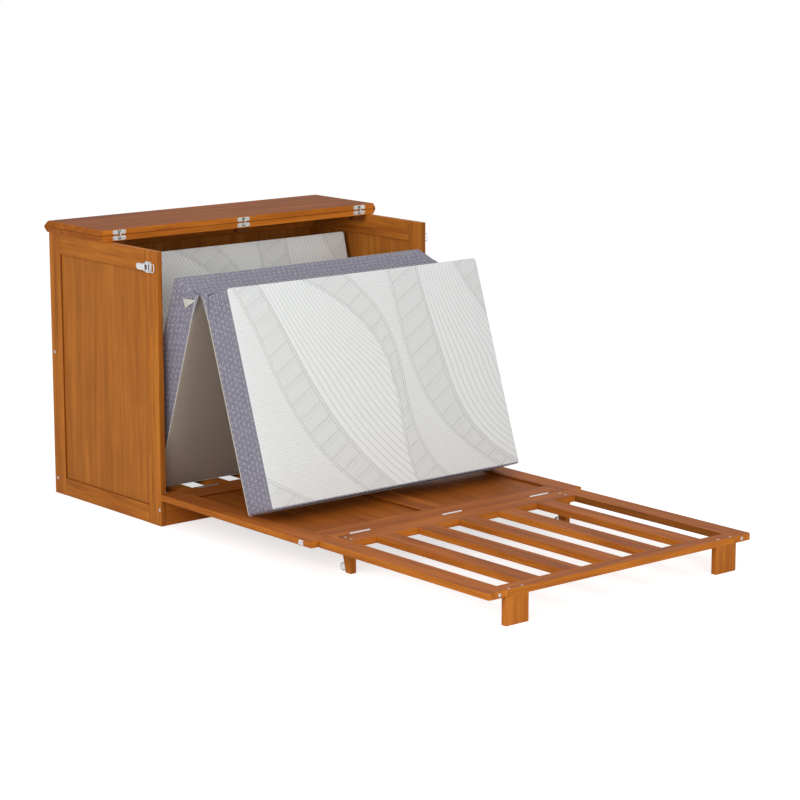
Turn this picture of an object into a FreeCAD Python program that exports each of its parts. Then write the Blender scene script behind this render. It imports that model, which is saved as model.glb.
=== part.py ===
import FreeCAD, Part
import math
import os

# Cabinet bed, opened out as it stands half unfolded.
# X runs across the bed, +Y to the back of the cabinet, +Z up, floor at Z = 0.
# The origin is on the floor at the middle of the opened-out length.
os.makedirs("parts", exist_ok=True)
V = FreeCAD.Vector

# Cabinet
cabinet_width = 1075.0
cabinet_depth = 607.0
side_height = 860.0
side_thickness = 20.0
side_stile = 64.0
side_top_rail = 67.0
side_bottom_rail = 58.0
side_panel_thickness = 8.0
groove_depth = 8.0
panel_play = 0.4
deck_height = 101.6
front_rail_thickness = 19.0
back_rail_thickness = 20.0
back_rail_height = 70.0
back_middle_rail_centre = 469.0
back_sheet_thickness = 6.0
back_rebate = 10.0
deck_slat_width = 53.0
deck_slat_thickness = 19.0
deck_slat_pitch = 144.0
deck_slat_count = 7
ledger_size = 24.0
arris = 1.2

# Door that becomes the middle of the bed
door_top_gap = 4.1
door_thickness = 20.0
door_stile = 77.0
door_near_rail = 83.0
door_far_rail = 85.0
door_middle_stile = 86.0
door_panel_thickness = 6.0
edge_gap = 1.0

# Slatted foot frame
frame_foot_gap = 13.0
frame_inset = 25.0
frame_thickness = 20.0
frame_side_rail = 70.0
frame_cross_rail = 70.0
frame_end_rail = 48.0
frame_slat_width = 66.0
frame_slat_count = 5
frame_corner_radius = 9.0
tenon_length = 12.0
tenon_thickness = 8.0
foot_width = 83.0
foot_inset = 62.5
leg_thickness = 20.0
leg_inset = 76.5
leg_top_depth = 46.0
leg_bottom_depth = 24.0
leg_setback = 10.0
leg_screw_spread = 26.0
foot_screw_spread = 50.0
end_bolt_inset = 39.0

# Roller behind each leg
roller_radius = 12.5
roller_width = 10.0
roller_setback = 12.0
roller_rim = 1.4
axle_radius = 2.5
bracket_sheet = 1.6
bracket_play = 0.5
bracket_below = 9.0
bracket_above = 13.0

# Lid in two halves
lid_thickness = 18.0
lid_rear_depth = 326.0
lid_overhang = 16.0
lid_bevel_run = 9.0
lid_bevel_drop = 15.0
lid_stack_gap = 0.6
lid_closed_lift = 0.4
lid_edge_gap = 0.4
lid_hinge_inset = 34.5
cup_length = 50.0
cup_height = 13.0
cup_depth = 14.0
cup_plate = 2.2
cup_body_length = 30.0
cup_step = 1.0
pocket_width = 12.0
pocket_wall = 1.6
link_thickness = 2.6
link_play = 0.4
link_bar = 3.4
link_reach = 6.9
link_drop = 6.8
link_root = 7.0
link_root_half = 2.0
cup_screw_inset = 5.5
block_length = 44.0
block_depth = 24.0
block_height = 16.0
block_inset = 3.0

# Butt hinges of the door and the foot frame
hinge_length = 76.0
hinge_spread = 356.0
knuckle_radius = 2.8
knuckle_count = 5
knuckle_play = 0.3
pin_radius = 1.3
pin_play = 0.05
leaf_thickness = 1.2
leaf_height = 15.0
hinge_rise = 0.8

# Draw latch on each side, with its catch on the door
latch_below_top = 51.0
latch_pivot_back = 43.0
latch_pivot_rise = 5.0
latch_base_length = 32.0
latch_base_sheet = 1.5
ear_span = 33.0
ear_sheet = 2.6
ear_radius = 3.4
lever_width = 20.0
lever_length = 50.0
lever_sheet = 1.8
lever_rise = 10.2
lever_mouth = 6.5
lever_knuckle = 3.0
latch_pin_radius = 1.5
bail_wire_radius = 1.2
bail_crank = 14.0
bail_rise = 8.6
bail_half_width = 11.9
bail_end_back = 2.5
bail_bend = 4.5
catch_above_latch = 2.4
catch_length = 20.0
catch_width = 14.0
catch_sheet = 1.4
catch_lip = 8.0

# Screws and bolts
screw_head_radius = 4.0
screw_head_height = 1.8
screw_shank_radius = 1.9
screw_length = 26.0
bolt_head_radius = 5.5
bolt_head_height = 2.2
bolt_shank_radius = 3.0
bolt_length = 46.0
bolt_sink = 0.4
fit_play = 0.1
cup_screw_radius = 3.0
cup_screw_length = 12.0

# Folded mattress
mattress_side_gap = 23.0
mattress_headroom = 180.0
mattress_thickness = 134.0
mattress_corner = 12.0
mattress_crown = 5.0
mattress_crown_run = 55.0
mattress_seam = 9.0
mattress_waist = 3.0
rest_gap = 0.4
rear_lean_degrees = 14.5
middle_lean_degrees = 19.2
front_lean_degrees = 18.8
middle_heel_back = 75.3
front_heel_ahead = 394.5
fold_gap = 1.7
strip_width = 24.0
strip_thickness = 1.5

# Places that follow from the sizes above
door_length = side_height - deck_height - hinge_rise - edge_gap / 2 - door_top_gap
frame_length = door_length - frame_foot_gap
overall_length = cabinet_depth + door_length + frame_length + 2 * edge_gap
front_y = overall_length / 2 - cabinet_depth
back_y = front_y + cabinet_depth
half_width = cabinet_width / 2
inner_half = half_width - side_thickness
mattress_width = 2 * (inner_half - mattress_side_gap)
mattress_section = side_height - mattress_headroom
latch_height = side_height - latch_below_top
catch_from_hinge = latch_height + catch_above_latch - deck_height - hinge_rise
lid_hinge_spread = inner_half - lid_hinge_inset
back_rail_back = back_y - back_sheet_thickness
back_rail_front = back_rail_back - back_rail_thickness
door_hinge = V(0, front_y - edge_gap / 2, deck_height + hinge_rise)
door_near_y = front_y - edge_gap
door_far_y = door_near_y - door_length
frame_hinge = V(0, door_far_y - edge_gap / 2, deck_height + hinge_rise)
frame_near_y = door_far_y - edge_gap
frame_far_y = frame_near_y - frame_length
frame_half = half_width - frame_inset
frame_bottom = deck_height - frame_thickness
lid_front_y = back_y - lid_rear_depth
lid_top_z = side_height + lid_thickness
lid_half = half_width + lid_overhang
lid_axis = V(0, lid_front_y, lid_top_z + (lid_stack_gap + lid_closed_lift) / 2)
hinge_places = (-hinge_spread, 0.0, hinge_spread)
lid_hinge_places = (-lid_hinge_spread, 0.0, lid_hinge_spread)
X_AXIS = V(1, 0, 0)
Y_AXIS = V(0, 1, 0)
Z_AXIS = V(0, 0, 1)


def block(a, b):
    """Box between two opposite corners."""
    low = V(min(a.x, b.x), min(a.y, b.y), min(a.z, b.z))
    return Part.makeBox(abs(b.x - a.x), abs(b.y - a.y), abs(b.z - a.z), low)


def ease(board, size=arris):
    """Break the long edges of a board."""
    longest = max(edge.Length for edge in board.Edges)
    edges = [edge for edge in board.Edges if edge.Length > longest - 0.1]
    return board.makeChamfer(size, edges)


def eased_block(a, b):
    return ease(block(a, b))


def prism(points, travel):
    """Solid swept from a closed flat outline."""
    wire = Part.makePolygon(points + [points[0]])
    return Part.Face(wire).extrude(travel)


def mirrored(shape):
    """The same piece on the other side of the bed."""
    return shape.mirror(V(0, 0, 0), X_AXIS)


def both_sides(shape):
    return [shape, mirrored(shape)]


def group(shapes):
    return Part.makeCompound(shapes)


def solids_of(shape):
    return shape.Solids if shape.Solids else [shape]


def save(node, shape):
    """Write one sub-part, as the solids that it is made of."""
    solids = solids_of(shape)
    result = solids[0] if len(solids) == 1 else group(solids)
    result.exportStep("parts/" + node + ".step")


def round_plate(centre, length, width, travel, long_axis, cross_axis):
    """Plate with half-round ends, swept along travel."""
    radius = width / 2
    run = long_axis * (length / 2 - radius)
    side = cross_axis * radius
    right = centre + run
    left = centre - run
    tip = long_axis * radius
    edges = [
        Part.LineSegment(left - side, right - side).toShape(),
        Part.Arc(right - side, right + tip, right + side).toShape(),
        Part.LineSegment(right + side, left + side).toShape(),
        Part.Arc(left + side, left - tip, left - side).toShape(),
    ]
    return Part.Face(Part.Wire(edges)).extrude(travel)


def screw(head, inward, head_radius=screw_head_radius, length=screw_length, shank=screw_shank_radius):
    """Countersunk screw whose head is flush at the point head."""
    cone = Part.makeCone(head_radius, shank, screw_head_height, head, inward)
    return cone.fuse(Part.makeCylinder(shank, length, head, inward)).removeSplitter()


def bolt(head, inward):
    """Connector bolt with a flat round head, sunk just below the face."""
    start = head + inward * bolt_sink
    cap = Part.makeCylinder(bolt_head_radius, bolt_head_height, start, inward)
    return cap.fuse(Part.makeCylinder(bolt_shank_radius, bolt_length, start, inward)).removeSplitter()


def bolt_hole(head, inward):
    cap = Part.makeCylinder(bolt_head_radius + fit_play, bolt_sink + bolt_head_height, head, inward)
    return cap.fuse(Part.makeCylinder(bolt_shank_radius + fit_play, bolt_length + bolt_sink, head, inward))


def framed(at, width, height, thickness, stile, rails, panel, middle=0.0):
    """Grooved stiles and rails round one panel, or two with a middle stile.

    at(u, v, w) gives the place of a point across, along and through the frame.
    Returns the frame's members and its panels.
    """
    low_rail, high_rail = rails
    mid = thickness / 2
    low_w = mid - panel / 2
    high_w = mid + panel / 2
    members = []

    def groove(u0, u1, v0, v1):
        return block(at(u0, v0, low_w), at(u1, v1, high_w))

    left = eased_block(at(0, 0, 0), at(stile, height, thickness))
    members.append(left.cut(groove(stile - groove_depth, stile, 0, height)))
    right = eased_block(at(width - stile, 0, 0), at(width, height, thickness))
    members.append(right.cut(groove(width - stile, width - stile + groove_depth, 0, height)))
    inner_left = stile
    inner_right = width - stile
    for v0, v1, edge0, edge1 in (
        (0, low_rail, low_rail - groove_depth, low_rail),
        (height - high_rail, height, height - high_rail, height - high_rail + groove_depth),
    ):
        rail = eased_block(at(inner_left, v0, 0), at(inner_right, v1, thickness))
        tongue = block(at(inner_left - groove_depth, v0, low_w), at(inner_right + groove_depth, v1, high_w))
        rail = rail.fuse(tongue)
        rail = rail.cut(groove(inner_left - groove_depth, inner_right + groove_depth, edge0, edge1))
        members.append(rail.removeSplitter())
    bays = [(inner_left, inner_right)]
    if middle:
        centre = width / 2
        u0 = centre - middle / 2
        u1 = centre + middle / 2
        post = eased_block(at(u0, low_rail, 0), at(u1, height - high_rail, thickness))
        foot = low_rail - groove_depth
        head = height - high_rail + groove_depth
        post = post.fuse(block(at(u0, foot, low_w), at(u1, head, high_w)))
        post = post.cut(groove(u0, u0 + groove_depth, foot, head))
        post = post.cut(groove(u1 - groove_depth, u1, foot, head))
        members.append(post.removeSplitter())
        bays = [(inner_left, u0), (u1, inner_right)]
    reach = groove_depth - panel_play
    panels = [
        block(at(u0 - reach, low_rail - reach, low_w), at(u1 + reach, height - high_rail + reach, high_w))
        for u0, u1 in bays
    ]
    return members, panels


# Butt hinges: the leaves lie let into the two edges, the knuckles stand in a round groove
def knuckle_groove(axis, x):
    start = V(x - hinge_length / 2 - knuckle_play, axis.y, axis.z)
    radius = knuckle_radius + knuckle_play
    return Part.makeCylinder(radius, hinge_length + 2 * knuckle_play, start, X_AXIS)


def leaf_seat(axis, x, side):
    """Shallow mortise for a leaf in the edge that lies on the given side of the axis."""
    face = axis.y + side * edge_gap / 2
    low = V(x - hinge_length / 2, face, deck_height - leaf_height)
    high = V(x + hinge_length / 2, face + side * leaf_thickness, deck_height)
    return block(low, high)


def hinge_seats(axis, side):
    """All that is cut from one edge for its three hinges."""
    cuts = [knuckle_groove(axis, x) for x in hinge_places]
    cuts += [leaf_seat(axis, x, side) for x in hinge_places]
    return cuts


def hinge_leaf(axis, x, side, own):
    """One leaf with its share of the knuckles; own picks the even or the odd ones."""
    face = axis.y + side * edge_gap / 2
    low = V(x - hinge_length / 2, face, deck_height - leaf_height)
    high = V(x + hinge_length / 2, face + side * leaf_thickness, axis.z)
    leaf = block(low, high)
    step = hinge_length / knuckle_count
    for number in range(knuckle_count):
        start = V(x - hinge_length / 2 + number * step, axis.y, axis.z)
        if number % 2 == own:
            barrel_start = start + X_AXIS * (knuckle_play / 2)
            leaf = leaf.fuse(Part.makeCylinder(knuckle_radius, step - knuckle_play, barrel_start, X_AXIS))
        else:
            leaf = leaf.cut(Part.makeCylinder(knuckle_radius + knuckle_play, step, start, X_AXIS))
    bore_start = V(x - hinge_length, axis.y, axis.z)
    bore = Part.makeCylinder(pin_radius + pin_play, 2 * hinge_length, bore_start, X_AXIS)
    return leaf.cut(bore).removeSplitter()


def hinge_pins(axis):
    length = hinge_length - knuckle_play
    return [
        Part.makeCylinder(pin_radius, length, V(x - length / 2, axis.y, axis.z), X_AXIS)
        for x in hinge_places
    ]


def without(shape, cuts):
    for cut in cuts:
        shape = shape.cut(cut)
    return shape


# Side frames, with their panels in grooves
def side_at(u, v, w):
    return V(-half_width + w, front_y + u, v)


side_bolt_places = (
    (front_y + front_rail_thickness / 2, deck_height / 2),
    (back_rail_front + back_rail_thickness / 2, deck_height / 2),
    (back_rail_front + back_rail_thickness / 2, back_middle_rail_centre),
)
side_bolts = [bolt(V(-half_width, y, z), X_AXIS) for y, z in side_bolt_places]
side_bolt_holes = [bolt_hole(V(-half_width, y, z), X_AXIS) for y, z in side_bolt_places]
left_members, left_panels = framed(
    side_at, cabinet_depth, side_height, side_thickness, side_stile,
    (side_bottom_rail, side_top_rail), side_panel_thickness,
)
back_rebate_cut = block(
    V(-inner_half - back_rebate, back_rail_back, 0),
    V(-inner_half, back_y, side_height),
)
left_members = [without(member, side_bolt_holes + [back_rebate_cut]) for member in left_members]
save("side_frame_left", group(left_members))
save("side_frame_right", mirrored(group(left_members)))
save("side_panel_left", group(left_panels))
save("side_panel_right", mirrored(group(left_panels)))
save("side_bolts", group([s for b in side_bolts for s in both_sides(b)]))

# Rails between the sides
all_bolt_holes = [h for hole in side_bolt_holes for h in both_sides(hole)]
front_rail = eased_block(
    V(-inner_half, front_y, 0), V(inner_half, front_y + front_rail_thickness, deck_height)
)
save("front_rail", without(front_rail, all_bolt_holes + hinge_seats(door_hinge, 1)))
back_rail_spans = (
    (0, deck_height),
    (back_middle_rail_centre - back_rail_height / 2, back_middle_rail_centre + back_rail_height / 2),
    (side_height - back_rail_height, side_height),
)
back_rails = []
for low, high in back_rail_spans:
    rail = eased_block(V(-inner_half, back_rail_front, low), V(inner_half, back_rail_back, high))
    back_rails.append(without(rail, all_bolt_holes))
save("back_rails", group(back_rails))
back_sheet = block(
    V(-inner_half - back_rebate + panel_play, back_rail_back, 0),
    V(inner_half + back_rebate - panel_play, back_y, side_height),
)
save("back_sheet", back_sheet)

# Deck slats on ledgers screwed behind the rails
deck_front = front_y + front_rail_thickness
ledger_top = deck_height - deck_slat_thickness
front_ledger = eased_block(
    V(-inner_half, deck_front, ledger_top - ledger_size),
    V(inner_half, deck_front + ledger_size, ledger_top),
)
back_ledger = eased_block(
    V(-inner_half, back_rail_front - ledger_size, ledger_top - ledger_size),
    V(inner_half, back_rail_front, ledger_top),
)
deck_ledgers = [without(ledger, all_bolt_holes) for ledger in (front_ledger, back_ledger)]
deck_slats = []
for number in range(deck_slat_count):
    x = (number - (deck_slat_count - 1) / 2) * deck_slat_pitch
    slat = eased_block(
        V(x - deck_slat_width / 2, deck_front, ledger_top),
        V(x + deck_slat_width / 2, back_rail_front, deck_height),
    )
    deck_slats.append(slat)
save("deck_ledgers", group(deck_ledgers))
save("deck_slats", group(deck_slats))


# Lid halves: board with bevelled ends, its outline given from the worn face down
def lid_outline(y, z, up):
    """End profile of a lid half; up is -1 when the board lies the right way up."""
    face = z
    back = z + up * lid_thickness
    land = back - up * lid_bevel_drop
    inner = lid_half - lid_bevel_run
    return [
        V(-lid_half, y, face), V(lid_half, y, face), V(lid_half, y, land),
        V(inner, y, back), V(-inner, y, back), V(-lid_half, y, land),
    ]


lid_run = Y_AXIS * (lid_rear_depth - lid_edge_gap)
lid_rear = prism(lid_outline(lid_front_y + lid_edge_gap, lid_top_z, -1), lid_run)
lid_front_face_z = lid_top_z + lid_stack_gap
lid_front_top_z = lid_front_face_z + lid_thickness
lid_front = prism(lid_outline(lid_front_y + lid_edge_gap, lid_front_face_z, 1), lid_run)
free_edge_bevel = prism(
    [
        V(-lid_half - arris, back_y, lid_front_top_z - lid_bevel_drop),
        V(-lid_half - arris, back_y, lid_front_top_z),
        V(-lid_half - arris, back_y - lid_bevel_run, lid_front_top_z),
    ],
    X_AXIS * 2 * (lid_half + arris),
)
lid_front = lid_front.cut(free_edge_bevel)


# Concealed lid hinges: a cup in each edge, a tongue from each cup, a link between the tongues
cup_screw_offsets = (cup_screw_inset - cup_length / 2, cup_length / 2 - cup_screw_inset)


def cup_solid(x, z_low, play):
    """Outer form of a cup, or the mortise for it when play is more than nothing."""
    face = lid_front_y + lid_edge_gap
    centre = V(x, face, z_low + cup_height / 2)
    plate = round_plate(
        centre, cup_length + 2 * play, cup_height + 2 * play, Y_AXIS * (cup_plate + play), X_AXIS, Z_AXIS
    )
    half = cup_body_length / 2 + play
    body = block(
        V(x - half, face, z_low + cup_step - play),
        V(x + half, face + cup_depth + play, z_low + cup_height - cup_step + play),
    )
    return plate.fuse(body).removeSplitter()


def cup(x, z_low, away):
    """Cup with its pocket and screw holes; away is the sign of Z from the fold line to this cup."""
    face = lid_front_y + lid_edge_gap
    near = z_low if away > 0 else z_low + cup_height
    far = z_low + cup_height if away > 0 else z_low
    pocket = block(
        V(x - pocket_width / 2, face - pocket_wall, near + away * pocket_wall),
        V(x + pocket_width / 2, face + cup_depth - pocket_wall, far - away * pocket_wall),
    )
    body = cup_solid(x, z_low, 0.0).cut(pocket)
    for offset in cup_screw_offsets:
        body = body.cut(cup_screw(x + offset, z_low + cup_height / 2))
    return body


def cup_screw(x, z):
    head = V(x, lid_front_y + lid_edge_gap, z)
    return screw(head, Y_AXIS, cup_screw_radius, cup_screw_length, cup_screw_radius / 2)


def bar(x_low, thickness, first, second):
    """Flat bar with round ends between two points given from the fold line in Y and Z."""
    start = V(x_low, lid_axis.y + first[0], lid_axis.z + first[1])
    end = V(x_low, lid_axis.y + second[0], lid_axis.z + second[1])
    along = end - start
    length = along.Length
    along.normalize()
    across = X_AXIS.cross(along)
    centre = (start + end) * 0.5
    return round_plate(centre, length + link_bar, link_bar, X_AXIS * thickness, along, across)


cup_margin = (lid_thickness - cup_height) / 2
rear_cup_z = side_height + cup_margin
front_cup_z = lid_front_face_z + cup_margin
rear_cups = []
front_cups = []
rear_cup_screws = []
front_cup_screws = []
lid_links = []
tongue_low = link_thickness / 2 + link_play
for x in lid_hinge_places:
    rear_centre = rear_cup_z + cup_height / 2 - lid_axis.z
    front_centre = front_cup_z + cup_height / 2 - lid_axis.z
    rear_tongue = bar(
        x - tongue_low - link_thickness, link_thickness, (link_root, rear_centre), (-link_reach, -link_drop)
    )
    front_tongue = bar(
        x + tongue_low, link_thickness, (link_root, front_centre), (-link_reach, link_drop)
    )
    root_y = lid_axis.y + link_root
    bridge_low = block(
        V(x - pocket_width / 2, root_y - link_root_half / 2, lid_axis.z + rear_centre - link_root_half),
        V(x - tongue_low, root_y + link_root_half / 2, lid_axis.z + rear_centre + link_root_half),
    )
    bridge_high = block(
        V(x + tongue_low, root_y - link_root_half / 2, lid_axis.z + front_centre - link_root_half),
        V(x + pocket_width / 2, root_y + link_root_half / 2, lid_axis.z + front_centre + link_root_half),
    )
    rear_cups.append(cup(x, rear_cup_z, -1).fuse(rear_tongue).fuse(bridge_low).removeSplitter())
    front_cups.append(cup(x, front_cup_z, 1).fuse(front_tongue).fuse(bridge_high).removeSplitter())
    link = bar(x - link_thickness / 2, link_thickness, (-link_reach, -link_drop), (-link_reach, link_drop))
    lid_links.append(link)
    for offset in cup_screw_offsets:
        rear_cup_screws.append(cup_screw(x + offset, rear_cup_z + cup_height / 2))
        front_cup_screws.append(cup_screw(x + offset, front_cup_z + cup_height / 2))
    lid_rear = lid_rear.cut(cup_solid(x, rear_cup_z, fit_play))
    lid_front = lid_front.cut(cup_solid(x, front_cup_z, fit_play))
lid_rear = without(lid_rear, rear_cup_screws)
lid_front = without(lid_front, front_cup_screws)
save("lid_rear", lid_rear)
save("lid_front", lid_front)
save("lid_hinge_cups_rear", group(rear_cups))
save("lid_hinge_cups_front", group(front_cups))
save("lid_hinge_links", group(lid_links))
save("lid_screws_rear", group(rear_cup_screws))
save("lid_screws_front", group(front_cup_screws))
lid_blocks = [
    eased_block(
        V(x - block_length / 2, lid_front_y + block_inset, side_height - block_height),
        V(x + block_length / 2, lid_front_y + block_inset + block_depth, side_height),
    )
    for x in lid_hinge_places
]
save("lid_hinge_blocks", group(lid_blocks))


# Door
def door_at(u, v, w):
    return V(-half_width + u, door_near_y - v, deck_height - door_thickness + w)


door_members, door_panels = framed(
    door_at, cabinet_width, door_length, door_thickness, door_stile,
    (door_near_rail, door_far_rail), door_panel_thickness, door_middle_stile,
)
door_cuts = hinge_seats(door_hinge, -1) + hinge_seats(frame_hinge, 1)
save("door_frame", group([without(member, door_cuts) for member in door_members]))
save("door_panels", group(door_panels))
save("door_hinge_leaves_cabinet", group([hinge_leaf(door_hinge, x, 1, 0) for x in hinge_places]))
save("door_hinge_leaves_door", group([hinge_leaf(door_hinge, x, -1, 1) for x in hinge_places]))
save("door_hinge_pins", group(hinge_pins(door_hinge)))
save("frame_hinge_leaves_door", group([hinge_leaf(frame_hinge, x, 1, 0) for x in hinge_places]))
save("frame_hinge_leaves_frame", group([hinge_leaf(frame_hinge, x, -1, 1) for x in hinge_places]))
save("frame_hinge_pins", group(hinge_pins(frame_hinge)))

# Catch plates on the door's side edges
catch_y = door_hinge.y - catch_from_hinge
catch_middle_z = deck_height - door_thickness / 2
catch_plate = block(
    V(-half_width - catch_sheet, catch_y - catch_length / 2, catch_middle_z - catch_width / 2),
    V(-half_width, catch_y + catch_length / 2, catch_middle_z + catch_width / 2),
)
catch_hook = block(
    V(-half_width - catch_lip, catch_y - catch_length / 4, catch_middle_z - catch_sheet / 2),
    V(-half_width, catch_y + catch_length / 4, catch_middle_z + catch_sheet / 2),
)
catch_turn = block(
    V(-half_width - catch_lip, catch_y - catch_length / 4, catch_middle_z - 2 * catch_sheet),
    V(-half_width - catch_lip + catch_sheet, catch_y + catch_length / 4, catch_middle_z + catch_sheet / 2),
)
catch = catch_plate.fuse(catch_hook).fuse(catch_turn).removeSplitter()
save("catch_plates", group(both_sides(catch)))

# Draw latches: base with two ears, channel lever, wire bail
latch_pivot = V(-half_width - latch_pivot_rise, front_y + latch_pivot_back, latch_height)
bail_pivot = V(-half_width - bail_rise, latch_pivot.y + bail_crank, latch_height)


def upright(radius, x, y, length):
    """Cylinder along Z, centred on the latch's height."""
    return Part.makeCylinder(radius, length, V(x, y, latch_height - length / 2), Z_AXIS)


base_plate = block(
    V(-half_width - latch_base_sheet, latch_pivot.y - latch_base_length / 2, latch_height - ear_span / 2),
    V(-half_width, latch_pivot.y + latch_base_length / 2, latch_height + ear_span / 2),
)
ears = upright(ear_radius, latch_pivot.x, latch_pivot.y, ear_span)
ears = ears.fuse(
    block(
        V(latch_pivot.x, latch_pivot.y - ear_radius, latch_height - ear_span / 2),
        V(-half_width, latch_pivot.y + ear_radius, latch_height + ear_span / 2),
    )
)
between_ears = ear_span - 2 * ear_sheet
ears = ears.cut(
    block(
        V(latch_pivot.x - 2 * ear_radius, latch_pivot.y - 2 * ear_radius, latch_height - between_ears / 2),
        V(-half_width - latch_base_sheet, latch_pivot.y + 2 * ear_radius, latch_height + between_ears / 2),
    )
)
latch_bore = upright(latch_pin_radius + pin_play, latch_pivot.x, latch_pivot.y, 2 * ear_span)
latch_base = base_plate.fuse(ears).cut(latch_bore).removeSplitter()
latch_pin = upright(latch_pin_radius, latch_pivot.x, latch_pivot.y, ear_span)

lever_start = latch_pivot.y + lever_mouth
lever_end = latch_pivot.y + lever_length
lever_middle = (lever_start + lever_end) / 2
lever_top = round_plate(
    V(-half_width - lever_rise, lever_middle, latch_height),
    lever_end - lever_start, lever_width, X_AXIS * -lever_sheet, Y_AXIS, Z_AXIS,
)
lever_square = block(
    V(-half_width - lever_rise, lever_start, latch_height - lever_width / 2),
    V(-half_width - lever_rise - lever_sheet, lever_middle, latch_height + lever_width / 2),
)
flange_profile = [
    V(latch_pivot.x + lever_knuckle, latch_pivot.y, 0),
    V(latch_pivot.x + lever_knuckle, latch_pivot.y + bail_crank, 0),
    V(-half_width - lever_rise, lever_end - lever_width, 0),
    V(-half_width - lever_rise, lever_start, 0),
    V(latch_pivot.x - lever_knuckle, latch_pivot.y, 0),
]
lever = lever_top.fuse(lever_square)
for side in (-1, 1):
    outer = latch_height + side * lever_width / 2
    inward = Z_AXIS * (-side * lever_sheet)
    flange = prism([V(p.x, p.y, outer) for p in flange_profile], inward)
    knuckle_start = V(latch_pivot.x, latch_pivot.y, outer)
    knuckle = Part.makeCylinder(lever_knuckle, lever_sheet, knuckle_start, Z_AXIS * -side)
    lever = lever.fuse(flange).fuse(knuckle)
bail_bore = upright(bail_wire_radius + pin_play, bail_pivot.x, bail_pivot.y, 2 * ear_span)
lever = lever.cut(latch_bore).cut(bail_bore).removeSplitter()

bail_y = front_y + bail_end_back
inner_end = lever_width / 2 - lever_sheet


def bail_path():
    """Centre line of the bail: in from one side of the lever, round the front, back to the other."""
    x = bail_pivot.x
    back = bail_pivot.y
    wide = bail_half_width
    bend = bail_bend
    small = bail_wire_radius * 1.5
    slant = math.sqrt(0.5)
    edges = []

    def line(y0, z0, y1, z1):
        edges.append(Part.LineSegment(V(x, y0, latch_height + z0), V(x, y1, latch_height + z1)).toShape())

    def arc(y0, z0, y1, z1, y2, z2):
        points = [V(x, y, latch_height + z) for y, z in ((y0, z0), (y1, z1), (y2, z2))]
        edges.append(Part.Arc(*points).toShape())

    line(back, inner_end, back, wide - small)
    arc(back, wide - small, back - small * (1 - slant), wide - small * (1 - slant), back - small, wide)
    line(back - small, wide, bail_y + bend, wide)
    arc(bail_y + bend, wide, bail_y + bend * (1 - slant), wide - bend * (1 - slant), bail_y, wide - bend)
    line(bail_y, wide - bend, bail_y, -wide + bend)
    arc(bail_y, -wide + bend, bail_y + bend * (1 - slant), -wide + bend * (1 - slant), bail_y + bend, -wide)
    line(bail_y + bend, -wide, back - small, -wide)
    arc(back - small, -wide, back - small * (1 - slant), -wide + small * (1 - slant), back, -wide + small)
    line(back, -wide + small, back, -inner_end)
    return Part.Wire(edges)


bail_start = V(bail_pivot.x, bail_pivot.y, latch_height + inner_end)
bail_section = Part.Wire([Part.makeCircle(bail_wire_radius, bail_start, Z_AXIS)])
bail = bail_path().makePipeShell([bail_section], True, False)

for name, shape in (
    ("latch_base", latch_base), ("latch_pin", latch_pin), ("latch_lever", lever), ("latch_bail", bail),
):
    save(name + "_left", shape)
    save(name + "_right", mirrored(shape))

# Slatted foot frame, with stub tenons into the side rails and the cross rails
frame_near = frame_near_y - frame_cross_rail
frame_far = frame_far_y + frame_end_rail
inner_rail = frame_half - frame_side_rail
tenon_low = deck_height - frame_thickness / 2 - tenon_thickness / 2
tenon_high = tenon_low + tenon_thickness
end_bolt_z = deck_height - frame_thickness / 2
end_bolt_places = [V(side * (frame_half - end_bolt_inset), frame_far_y, end_bolt_z) for side in (-1, 1)]
frame_bolts = [bolt(place, Y_AXIS) for place in end_bolt_places]
frame_bolt_holes = [bolt_hole(place, Y_AXIS) for place in end_bolt_places]


def corner_rounded(board, x, y):
    """Round the upright corner edge of a board that stands at x, y."""
    edges = [
        edge for edge in board.Edges
        if all(abs(v.X - x) < 0.01 and abs(v.Y - y) < 0.01 for v in edge.Vertexes) and edge.Length > frame_thickness / 2
    ]
    return board.makeFillet(frame_corner_radius, edges)


def frame_board(a, b):
    return block(V(a[0], a[1], frame_bottom), V(b[0], b[1], deck_height))


side_rail = frame_board((-frame_half, frame_near_y), (-inner_rail, frame_far_y))
side_rail = corner_rounded(side_rail, -frame_half, frame_near_y)
side_rail = corner_rounded(side_rail, -frame_half, frame_far_y)
side_rail_top = [
    edge for edge in side_rail.Edges
    if all(abs(v.X + frame_half) < 0.01 for v in edge.Vertexes) and edge.Length > frame_length / 2
]
side_rail = side_rail.makeChamfer(arris, side_rail_top)
cross_rail = frame_board((-inner_rail, frame_near_y), (inner_rail, frame_near))
end_rail = frame_board((-inner_rail, frame_far), (inner_rail, frame_far_y))
frame_slats = []
slat_gap = (2 * inner_rail - frame_slat_count * frame_slat_width) / (frame_slat_count + 1)
for number in range(frame_slat_count):
    low = -inner_rail + slat_gap + number * (frame_slat_width + slat_gap)
    slat = ease(frame_board((low, frame_near), (low + frame_slat_width, frame_far)))
    stub = block(
        V(low + tenon_thickness, frame_near + tenon_length, tenon_low),
        V(low + frame_slat_width - tenon_thickness, frame_far - tenon_length, tenon_high),
    )
    frame_slats.append(slat.fuse(stub).removeSplitter())
for near_y, far_y, which in (
    (frame_near_y - tenon_length, frame_near + tenon_length, 0),
    (frame_far - tenon_length, frame_far_y + tenon_length, 1),
):
    stub = block(
        V(-inner_rail - tenon_length, near_y, tenon_low), V(inner_rail + tenon_length, far_y, tenon_high)
    )
    if which == 0:
        cross_rail = cross_rail.fuse(stub)
    else:
        end_rail = end_rail.fuse(stub)
cross_rail = without(cross_rail, frame_slats).removeSplitter()
end_rail = without(end_rail, frame_slats).removeSplitter()
side_rail = side_rail.cut(cross_rail).cut(end_rail)
frame_rails = both_sides(side_rail) + [cross_rail, end_rail]

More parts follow.
